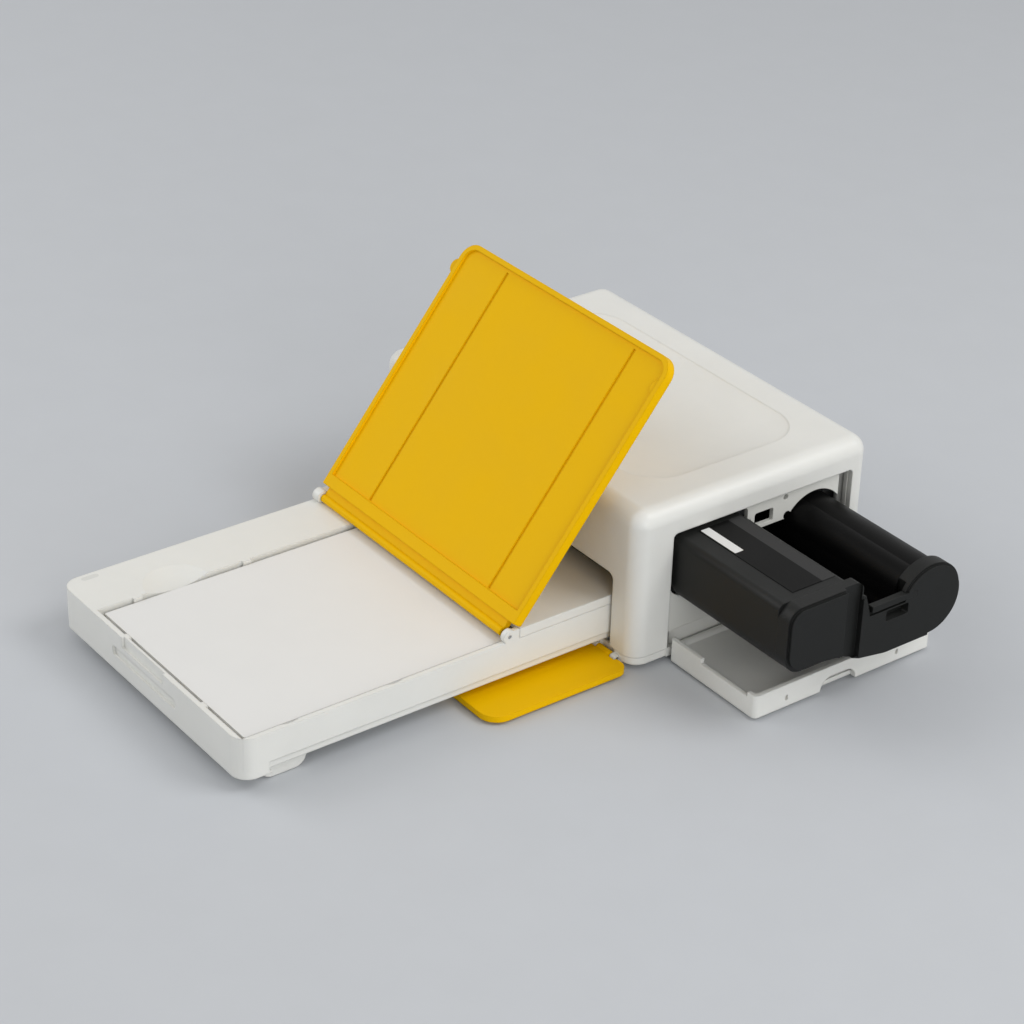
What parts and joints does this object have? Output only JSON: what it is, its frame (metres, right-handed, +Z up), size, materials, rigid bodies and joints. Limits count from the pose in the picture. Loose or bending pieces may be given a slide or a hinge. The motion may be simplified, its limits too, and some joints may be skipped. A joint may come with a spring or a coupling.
{
  "type": "compact photo printer",
  "caption": "Compact dye-sublimation photo printer with a front paper tray under a hinged lid, drop-down doors, a slide-in ribbon cartridge and a gear-driven print mechanism.",
  "frame": {"origin": "centre of the overall box at the level of the feet", "axes": "+X to the machine's right, where the cartridge comes out, -Y to the front, where the paper tray sticks out, +Z up"},
  "size_m": [0.2364, 0.2846, 0.1212],
  "materials": {
    "white_shell": "satin moulded",
    "yellow_shell": "satin moulded",
    "black_plastic": "fine matte texture",
    "dark_film": "smooth",
    "label_grey": "matte",
    "clear_guide": "clear",
    "steel": "zinc plated",
    "bare_aluminium": "extruded",
    "ceramic": "glazed",
    "dark_rubber": "ground",
    "brown_rubber": "matte",
    "nylon": "natural",
    "green_board": "solder mask",
    "paper": "smooth coated"
  },
  "bodies": {
    "printer": {"housing": "white_shell", "bottom_cover": "white_shell", "rubber_feet": "dark_rubber", "case_screws": "steel", "front_door_pins": "steel", "side_door_pins": "steel", "bay_wall": "white_shell", "button_spring": "steel", "status_light_pipe": "clear_guide", "main_board": "green_board", "board_components": "black_plastic", "power_inlet": "black_plastic", "usb_port": "steel", "door_switch": "black_plastic", "left_side_plate": "steel", "right_side_plate": "steel", "cross_plate": "steel", "plate_screws": "steel", "head_pivot_shaft": "steel", "head_springs": "steel", "shaft_bushings": "nylon", "drive_motor": "steel", "retaining_clips": "steel"},
    "front_cover": {"front_door": "yellow_shell"},
    "side_cover": {"side_door": "white_shell"},
    "button": {"power_button": "white_shell"},
    "head": {"print_head": "ceramic", "head_heat_sink": "bare_aluminium", "head_arm": "steel"},
    "platen": {"platen_roller": "dark_rubber", "platen_gear": "nylon"},
    "feed": {"feed_roller": "steel", "feed_gear": "nylon"},
    "pinch": {"pinch_roller": "dark_rubber"},
    "pickup": {"pickup_roller": "dark_rubber", "pickup_gear": "nylon"},
    "motor_shaft": {"motor_pinion": "nylon"},
    "main_idler": {"main_idler_gear": "nylon"},
    "pickup_idler": {"pickup_idler_gear": "nylon"},
    "ribbon_idler": {"ribbon_idler_gear": "nylon"},
    "take_up": {"take_up_drive": "nylon"},
    "supply": {"supply_drive": "nylon"},
    "cartridge": {"cartridge_supply_housing": "black_plastic", "cartridge_take_up_housing": "black_plastic", "cartridge_end_cap": "black_plastic", "cartridge_inner_end": "black_plastic", "cartridge_latch": "black_plastic", "cartridge_label": "label_grey", "ribbon_film": "dark_film"},
    "supply_reel": {"supply_spool": "dark_film"},
    "take_up_reel": {"take_up_spool": "dark_film"},
    "tray": {"tray_base": "white_shell", "tray_feet": "white_shell", "tray_rear_cover": "white_shell", "tray_lid_pins": "steel", "separation_pad": "brown_rubber", "paper_stack": "paper", "lift_spring": "steel"},
    "lid": {"tray_lid": "yellow_shell"},
    "lift": {"tray_lift_plate": "steel"}
  },
  "joints": [
    {"name": "tray_slide", "type": "slide", "parent": "printer", "child": "tray", "axis": [0, -1, 0], "range_m": [0, 0.1]},
    {"name": "tray_lid_hinge", "type": "hinge", "parent": "tray", "child": "lid", "pos_m": [-0.02895, -0.02335, 0.02565], "axis": [1, 0, 0], "range_deg": [0, 128.5]},
    {"name": "lift_plate_hinge", "type": "hinge", "parent": "tray", "child": "lift", "pos_m": [-0.01735, 0.00025, 0.0123], "axis": [1, 0, 0], "range_deg": [-3, 0], "stiffness_Nm_per_rad": 0.6, "springref_deg": 3.44, "deforming": ["lift_spring"]},
    {"name": "front_door_hinge", "type": "hinge", "parent": "printer", "child": "front_cover", "pos_m": [-0.03275, 0.02325, 0.0029], "axis": [-1, 0, 0], "range_deg": [0, 3]},
    {"name": "side_door_hinge", "type": "hinge", "parent": "printer", "child": "side_cover", "pos_m": [0.05085, 0.08745, 0.0029], "axis": [0, -1, 0], "range_deg": [0, 10]},
    {"name": "cartridge_slide", "type": "slide", "parent": "printer", "child": "cartridge", "axis": [-1, 0, 0], "range_m": [-0.06, 0.0758]},
    {"name": "power_button_press", "type": "slide", "parent": "printer", "child": "button", "axis": [0, 0, -1], "range_m": [0, 0.0008], "stiffness_N_per_m": 400, "springref_m": -0.001, "deforming": ["button_spring"]},
    {"name": "head_pivot", "type": "hinge", "parent": "printer", "child": "head", "pos_m": [-0.01775, 0.13245, 0.058], "axis": [1, 0, 0], "range_deg": [0, 8.2], "deforming": ["head_springs"]},
    {"name": "platen_turn", "type": "hinge", "parent": "printer", "child": "platen", "pos_m": [-0.01775, 0.0895, 0.0124], "axis": [1, 0, 0], "continuous": true},
    {"name": "main_idler_turn", "type": "hinge", "parent": "printer", "child": "main_idler", "pos_m": [-0.10075, 0.07764, 0.02653], "axis": [1, 0, 0], "continuous": true},
    {"name": "feed_roller_turn", "type": "hinge", "parent": "printer", "child": "feed", "pos_m": [-0.01775, 0.06097, 0.0154], "axis": [1, 0, 0], "continuous": true},
    {"name": "motor_turn", "type": "hinge", "parent": "printer", "child": "motor_shaft", "pos_m": [-0.09475, 0.082, 0.04281], "axis": [1, 0, 0], "continuous": true},
    {"name": "pickup_idler_turn", "type": "hinge", "parent": "printer", "child": "pickup_idler", "pos_m": [-0.10075, 0.04925, 0.02637], "axis": [1, 0, 0], "continuous": true},
    {"name": "pickup_roller_turn", "type": "hinge", "parent": "printer", "child": "pickup", "pos_m": [-0.01775, 0.03475, 0.0311], "axis": [1, 0, 0], "continuous": true},
    {"name": "ribbon_idler_turn", "type": "hinge", "parent": "printer", "child": "ribbon_idler", "pos_m": [-0.10075, 0.1018, 0.01999], "axis": [1, 0, 0], "continuous": true},
    {"name": "take_up_drive_turn", "type": "hinge", "parent": "printer", "child": "take_up", "pos_m": [-0.09275, 0.11595, 0.0353], "axis": [1, 0, 0], "continuous": true},
    {"name": "pinch_roller_turn", "type": "hinge", "parent": "printer", "child": "pinch", "pos_m": [-0.01775, 0.06097, 0.0225], "axis": [1, 0, 0], "continuous": true},
    {"name": "supply_drive_turn", "type": "hinge", "parent": "printer", "child": "supply", "pos_m": [-0.09275, 0.06, 0.04065], "axis": [1, 0, 0], "continuous": true},
    {"name": "supply_spool_turn", "type": "hinge", "parent": "cartridge", "child": "supply_reel", "pos_m": [0.04725, 0.06, 0.04065], "axis": [1, 0, 0], "continuous": true},
    {"name": "take_up_spool_turn", "type": "hinge", "parent": "cartridge", "child": "take_up_reel", "pos_m": [0.04725, 0.11595, 0.0353], "axis": [1, 0, 0], "continuous": true}
  ],
  "couplings": [
    {"joint": "main_idler_turn", "follows": "platen_turn", "ratio": -0.53333},
    {"joint": "feed_roller_turn", "follows": "platen_turn", "ratio": 0.8},
    {"joint": "motor_turn", "follows": "platen_turn", "ratio": 1.3333},
    {"joint": "pickup_idler_turn", "follows": "platen_turn", "ratio": -0.8},
    {"joint": "pickup_roller_turn", "follows": "platen_turn", "ratio": 0.88889},
    {"joint": "ribbon_idler_turn", "follows": "platen_turn", "ratio": -0.8},
    {"joint": "take_up_drive_turn", "follows": "platen_turn", "ratio": 0.5},
    {"joint": "pinch_roller_turn", "follows": "platen_turn", "ratio": -1.1429},
    {"joint": "take_up_spool_turn", "follows": "supply_spool_turn", "ratio": 1.4189}
  ]
}
